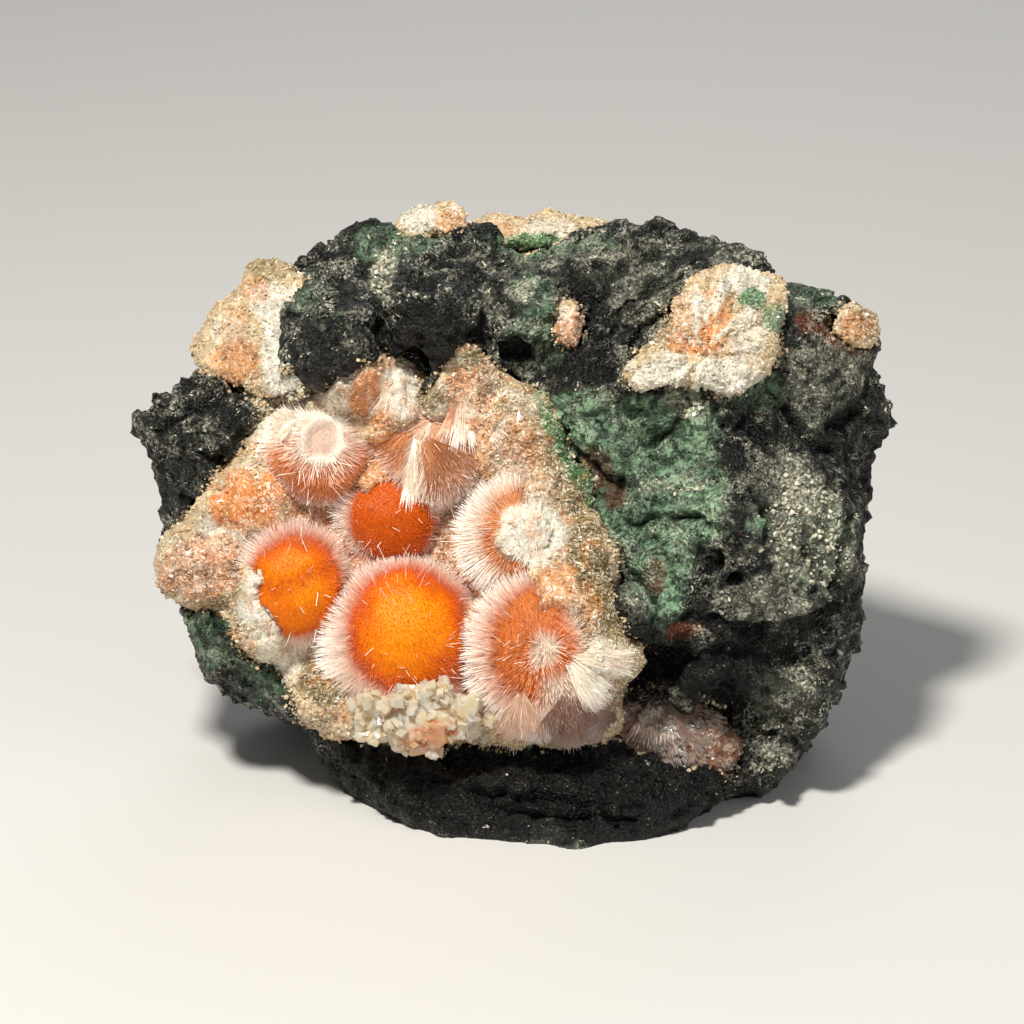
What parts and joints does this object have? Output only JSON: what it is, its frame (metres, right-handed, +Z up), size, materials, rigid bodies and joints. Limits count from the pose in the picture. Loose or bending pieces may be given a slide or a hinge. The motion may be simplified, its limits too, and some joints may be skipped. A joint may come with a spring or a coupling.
{
  "type": "thomsonite mineral specimen",
  "caption": "Dark basalt block whose open vug is lined with orange radial thomsonite balls fringed by white needles.",
  "frame": {"origin": "on the flat base, under the middle of the specimen's bounding box", "axes": "+X to the right along the specimen's length, +Z up, the crystal face towards -Y and leaning back"},
  "size_m": [0.0904, 0.0616, 0.0635],
  "materials": {
    "basalt": "rough, with a fine crystalline glint",
    "thomsonite": "fibrous, silky",
    "clear_crystal": "clear, glassy",
    "zeolite": "sugary",
    "amygdule": "sugary, radial",
    "smoky_zeolite": "translucent, glassy"
  },
  "bodies": {
    "root": {"basalt_matrix": "basalt", "thomsonite_crust": "thomsonite", "clear_crystals": "clear_crystal", "zeolite_vein": "zeolite", "right_amygdule": "amygdule", "ridge_amygdule_left": "amygdule", "ridge_amygdule_right": "amygdule", "small_amygdule": "amygdule", "edge_amygdule": "amygdule", "pocket_spray": "smoky_zeolite"}
  },
  "joints": []
}
